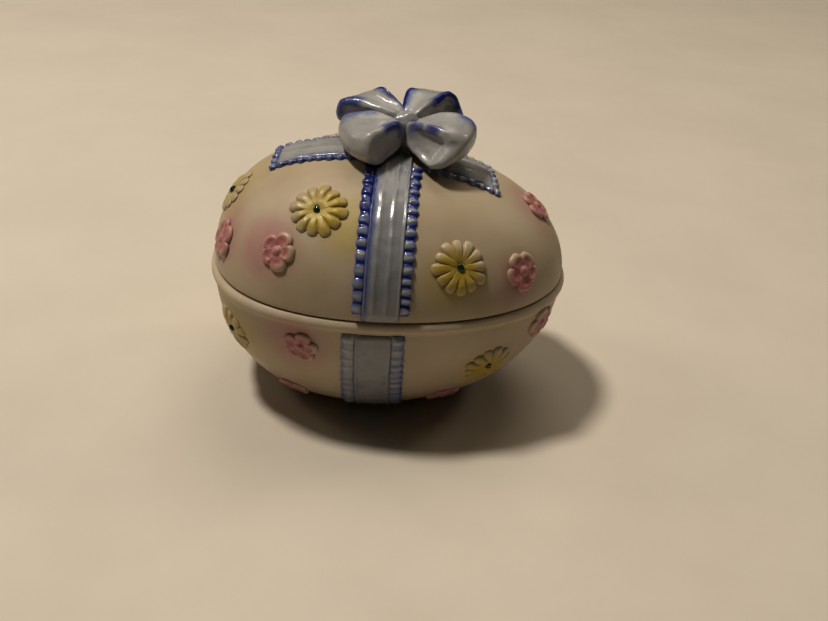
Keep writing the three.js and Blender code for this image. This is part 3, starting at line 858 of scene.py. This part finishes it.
def make_knot():
    """The gathered middle: a squat lump with creases running over it."""
    polar = np.linspace(0.04, math.pi - 0.04, KNOT_ROWS)[:, None]
    turn = np.linspace(0, 2 * math.pi, KNOT_COLUMNS, endpoint=False)[None, :]
    creases = 1 + 0.08 * np.cos(turn * 5 + 0.8) * np.sin(polar) + 0.05 * np.cos(turn * 2)
    girth = np.sin(polar) ** 0.7 * creases
    squat = np.sign(np.cos(polar)) * np.abs(np.cos(polar)) ** 0.85
    grid = np.stack([
        BOW_X + KNOT_PLACE[0] + KNOT_RADII[0] * girth * np.cos(turn),
        KNOT_PLACE[1] + KNOT_RADII[1] * girth * np.sin(turn),
        (KNOT_BOTTOM + KNOT_TOP) / 2 + (KNOT_TOP - KNOT_BOTTOM) / 2 * squat + 0 * turn,
    ], -1)
    grid = wobble(wobble(grid, 0.35, 0.5, 9), 0.8, 0.16, 11)
    points, faces = closed_rings(grid)
    make_piece(
        "bow_centre_knot", points, faces, "lid", RIBBON, ["bow_knot"],
        {"blue": np.full(len(points), 0.16), "pale": np.ones(len(points))},
    )


# ---------------------------------------------------------------- flowers

# notch and tip: how deep the outline is cut between petals and how square the tips are; groove: how
# deep the gaps run over the top; ridge: how flat the petals are between the gaps; middle: height at the
# centre against the tips; bead: a round bead, or below zero a pit, in the middle; cup: how far each
# petal is hollowed inside its rim; spray: the colour blown on round it; columns: round the outline
FLOWERS = {
    "daisy": {
        "count": 12, "height": 1.05, "notch": 0.2, "tip": 3.2, "groove": 0.55, "ridge": 3.0, "middle": 0.45,
        "bead": -0.15, "bead_size": 0.19, "cup": 0.0, "spray": "yellow", "columns": 168,
        "slot": "yellow_bisque", "material": DAISY,
    },
    "blossom": {
        "count": 5, "height": 1.1, "notch": 0.22, "tip": 2.8, "groove": 0.4, "ridge": 3.0, "middle": 0.22,
        "bead": 0.6, "bead_size": 0.22, "cup": 0.55, "spray": "pink", "columns": 140,
        "slot": "pink_bisque", "material": BLOSSOM,
    },
}
FLOWER_ROWS = 34


# Colour sprayed past a flower: millimetres along the egg and up from its middle, reach in flower radii,
# and strength
BLUSH = {
    "lid_daisy_front_left": (6.5, -2.8, 1.6, 0.95),
    "lid_daisy_front_right": (-1.5, -2.8, 1.6, 0.75),
    "lid_blossom_front_left": (-2.8, 0.8, 2.4, 0.9),
    "lid_blossom_front_right": (-0.6, -2.0, 1.9, 0.55),
    "lid_blossom_left_end": (1.0, 0.5, 2.2, 0.7),
    "lid_blossom_right_end": (-1.0, -1.0, 2.2, 0.6),
    "base_blossom_front_left": (-1.5, 0.5, 2.6, 0.85),
    "base_blossom_low_left": (-1.0, 0.5, 2.2, 0.6),
    "base_daisy_left_end": (0.5, 1.5, 1.9, 0.9),
    "base_daisy_front_right": (-0.8, -0.3, 1.5, 0.95),
}


# Share of the relief and paint left on the flowers at the blunt end
WORN = {"lid_daisy_left_end": 0.6, "base_daisy_left_end": 0.65}


def flower_place(node):
    """Where a flower sits, from its CAD solid: centre on the egg, radius and tangent directions."""
    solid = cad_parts[node]
    corners = np.array([v.co for v in solid.data.vertices]) / MM - np.array([0, 0, SEAM_HEIGHT])
    middle = corners.mean(0)
    centre = settle(middle[None], np.zeros(1))[0]
    normal = egg_normal(centre[None])[0]
    side = np.array([1.0, 0, 0]) - normal * normal[0]
    side /= np.linalg.norm(side)
    radius = np.linalg.norm(corners - middle, axis=1).max()
    seed = hash_seed(node)
    random = np.random.default_rng(seed)
    drawn = (random.uniform(-2.5, 1.5), random.uniform(-1, 2.5), 2.2, random.uniform(0.35, 0.6))
    return {
        "node": node, "kind": "daisy" if "daisy" in node else "blossom", "body": node.split("_")[0],
        "centre": centre, "radius": radius, "side": side, "up": np.cross(normal, side), "seed": seed,
        "blush": BLUSH.get(node, drawn), "turn": random.uniform(0, 2 * math.pi), "worn": WORN.get(node, 1.0),
    }


def spread(flower, size, turn):
    """Places in a flower's own plane, from distances out and angles."""
    along = flower["side"] * (size * np.cos(turn))[..., None]
    return along + flower["up"] * (size * np.sin(turn))[..., None]


def petal_field(flower, turn, share):
    """Outline factor, share of the height, and groove colour at an angle and a share of the way out."""
    shape = FLOWERS[flower["kind"]]
    count = shape["count"]
    random = np.random.default_rng(flower["seed"] + 7)
    lengths = 1 + random.uniform(-0.07, 0.05, count)
    heights = 1 + random.uniform(-0.15, 0.12, count)
    phase = turn / (2 * math.pi) * count
    index = np.floor(phase).astype(int) % count
    across = 2 * (phase % 1) - 1
    outline = (1 - shape["notch"] * np.abs(across) ** shape["tip"]) * lengths[index]
    ridge = np.clip(1 - np.abs(across) ** shape["ridge"], 0, 1) ** 0.7
    grooving = smoothstep(0.28, 0.65, share)
    rounding = np.clip(1 - share ** 3.2, 0, 1) ** 0.55
    cupped = shape["middle"] + (1 - shape["middle"]) * smoothstep(0.12, 0.75, share)
    hollow = np.exp(-((share - 0.55) / 0.2) ** 2) * np.clip(1 - across ** 2, 0, 1)
    gap = grooving * (1 - ridge)
    height = rounding * cupped * (1 - shape["groove"] * gap - shape["cup"] * hollow)
    return outline, height * heights[index], np.maximum(gap, 1.6 * shape["cup"] * hollow)


def petal_paint(flower, share, spin, size):
    """Colour on the petals: full in the middle, thin at the tips, and blown towards the blush."""
    along, up = flower["blush"][:2] / np.hypot(*flower["blush"][:2])
    drift = size * (along * np.cos(spin) + up * np.sin(spin)) / flower["radius"]
    if flower["kind"] == "daisy":
        paint = 1 - smoothstep(0.32, 0.85 + 0.75 * flower["blush"][3], share - 0.7 * drift)
        paint = paint * (1 - 0.4 * smoothstep(0.7, 0.98, share))
    else:
        paint = 1 - 0.9 * smoothstep(0.45, 1.15, share - 0.35 * drift)
    return paint * flower["worn"]


def make_flower(node):
    """A flower's petals, and a daisy's eye; the top's rings run outwards and the bottom's back in."""
    flower = flower_place(node)
    shape = FLOWERS[flower["kind"]]
    turn = np.linspace(0, 2 * math.pi, shape["columns"], endpoint=False)[None, :]
    share = np.linspace(0.03, 1, FLOWER_ROWS)[:, None]
    outline, height, groove = petal_field(flower, turn, share)
    size = flower["radius"] * share * (1 + (outline - 1) * smoothstep(0.15, 0.8, share))
    bead = shape["bead"] * np.exp(-(share / shape["bead_size"]) ** 4)
    rise = shape["height"] * height * flower["worn"] + bead
    spin = turn + flower["turn"]
    local = spread(flower, size, spin)
    top = settle(flower["centre"] + local, rise)
    bottom = settle(flower["centre"] + local[::-1] * 0.97, np.full(size.shape, SINK))
    grid = wobble(np.concatenate([top, bottom]), 0.5, 0.07, flower["seed"] % 17)
    points, faces = closed_rings(grid)
    paint = petal_paint(flower, share, spin, size)
    attributes = {
        "paint": ring_values(np.concatenate([paint, paint])),
        "groove": ring_values(np.concatenate([groove, 0 * groove])),
    }
    make_piece(
        node + "_petals", points, faces, flower["body"], shape["material"], [node], attributes,
    )
    if flower["kind"] == "daisy":
        make_eye(flower)
    return flower


def make_eye(flower):
    """A glossy drop of dark enamel in the middle of a daisy."""
    polar = np.linspace(0.03, math.pi * 0.62, EYE_ROWS)[:, None]
    turn = np.linspace(0, 2 * math.pi, EYE_COLUMNS, endpoint=False)[None, :]
    random = np.random.default_rng(flower["seed"] + 3)
    ragged = 1 + 0.12 * np.cos(turn * 2 + random.uniform(0, 6))
    ragged = ragged + 0.08 * np.cos(turn * 3 + random.uniform(0, 6))
    size = EYE_RADIUS * np.sin(polar) * ragged
    rise = EYE_RISE + EYE_RISE * np.cos(polar) + 0 * turn
    points, faces = closed_rings(settle(flower["centre"] + spread(flower, size, turn), rise))
    make_piece(
        flower["node"] + "_eye_drop", points, faces, flower["body"], EYE,
        [flower["node"] + "_eye"],
    )


# ---------------------------------------------------------------- the setting

CAMERA_AZIMUTH = 2.1
CAMERA_ELEVATION = 28.0
CAMERA_DISTANCE = 218.0
CAMERA_ROLL = 3.67
CAMERA_AIM_RIGHT = 1.38
CAMERA_AIM_DOWN = 3.25
CAMERA_LENS = 43.48
CAMERA_SENSOR = 36
CAMERA_NEAREST = 0.01  # metres


def make_camera():
    """Stand the camera off the middle of the seam, a little rolled, aimed right of it and below it."""
    azimuth = math.radians(CAMERA_AZIMUTH)
    elevation = math.radians(CAMERA_ELEVATION)
    back = Vector((
        math.sin(azimuth) * math.cos(elevation),
        -math.cos(azimuth) * math.cos(elevation),
        math.sin(elevation),
    ))
    right = Vector((math.cos(azimuth), math.sin(azimuth), 0))
    axes = Matrix((right, back.cross(right), back)).transposed()
    turn = axes.to_quaternion()
    turn = turn @ Quaternion((0, 0, 1), math.radians(CAMERA_ROLL))
    turn = turn @ Quaternion((0, 1, 0), -math.radians(CAMERA_AIM_RIGHT))
    turn = turn @ Quaternion((1, 0, 0), -math.radians(CAMERA_AIM_DOWN))
    data = bpy.data.cameras.new("camera")
    data.lens = CAMERA_LENS
    data.sensor_width = CAMERA_SENSOR
    data.clip_start = CAMERA_NEAREST
    camera = bpy.data.objects.new("camera", data)
    camera.rotation_mode = "QUATERNION"
    camera.rotation_quaternion = turn
    camera.location = back * CAMERA_DISTANCE * MM + Vector((0, 0, SEAM_HEIGHT * MM))
    bpy.context.scene.collection.objects.link(camera)
    bpy.context.scene.camera = camera


def make_light(name, position, size, power, colour):
    """A round lamp at a position in metres, turned to the foot of the box, with its power in watts."""
    data = bpy.data.lights.new(name, "AREA")
    data.shape = "DISK"
    data.size = size
    data.energy = power
    data.color = colour
    light = bpy.data.objects.new(name, data)
    light.location = position
    light.rotation_euler = (-Vector(position)).to_track_quat("-Z", "Y").to_euler()
    bpy.context.scene.collection.objects.link(light)


FLOOR_RADIUS = 0.9  # metres
FLOOR_SIDES = 96
FLOOR_DROP = 0.1  # millimetres below the foot
VIEW_GAMMA = 0.8


def make_floor():
    turn = np.linspace(0, 2 * math.pi, FLOOR_SIDES, endpoint=False)
    rim = [(FLOOR_RADIUS * math.cos(a), FLOOR_RADIUS * math.sin(a), -FLOOR_DROP * MM) for a in turn]
    mesh = bpy.data.meshes.new("floor")
    mesh.from_pydata(rim, [], [tuple(range(len(rim)))])
    mesh.materials.append(floor_material())
    floor = bpy.data.objects.new("floor", mesh)
    bpy.context.scene.collection.objects.link(floor)


def make_lights():
    make_light("key", (-0.33, 0.01, 0.88), 0.13, 5.7, (1.0, 0.935, 0.84))
    make_light("top", (0.12, 0.42, 0.86), 0.6, 1.9, (1.0, 0.91, 0.78))
    make_light("ceiling", (0.0, 0.2, 1.2), 1.2, 1.5, (1.0, 0.84, 0.60))
    make_light("right", (0.55, 0.3, 0.5), 0.15, 0.5, (1.0, 0.90, 0.74))
    make_light("side", (-0.46, 0.08, 0.36), 0.10, 0.26, (1.0, 0.90, 0.76))
    make_light("fill", (-0.45, -0.75, 0.14), 0.24, 0.01, (1.0, 0.72, 0.42))


def make_backdrop():
    """A faint warm light from all round, behind a plain backdrop that lights nothing."""
    world = bpy.data.worlds.new("studio")
    world.use_nodes = True
    tree = world.node_tree
    glow = tree.nodes["Background"]
    glow.inputs["Color"].default_value = (*GLOW, 1)
    glow.inputs["Strength"].default_value = GLOW_STRENGTH
    wall = tree.nodes.new("ShaderNodeBackground")
    wall.inputs["Color"].default_value = (*BACKDROP, 1)
    seen = tree.nodes.new("ShaderNodeLightPath").outputs["Is Camera Ray"]
    mix = tree.nodes.new("ShaderNodeMixShader")
    tree.links.new(seen, mix.inputs[0])
    tree.links.new(glow.outputs[0], mix.inputs[1])
    tree.links.new(wall.outputs[0], mix.inputs[2])
    tree.links.new(mix.outputs[0], tree.nodes["World Output"].inputs["Surface"])
    bpy.context.scene.world = world


def make_setting():
    make_floor()
    make_lights()
    make_backdrop()
    bpy.context.scene.view_settings.view_transform = "Standard"
    bpy.context.scene.view_settings.gamma = VIEW_GAMMA


def is_flower(node):
    return ("daisy" in node or "blossom" in node) and not node.endswith("_eye")


flowers = [make_flower(node) for node in sorted(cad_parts) if is_flower(node)]
make_lid_shell([f for f in flowers if f["body"] == "lid"])
make_base_shell([f for f in flowers if f["body"] == "base"])
make_lid_ribbon()
make_base_ribbon()
make_tails()
make_bow()
make_camera()
make_setting()
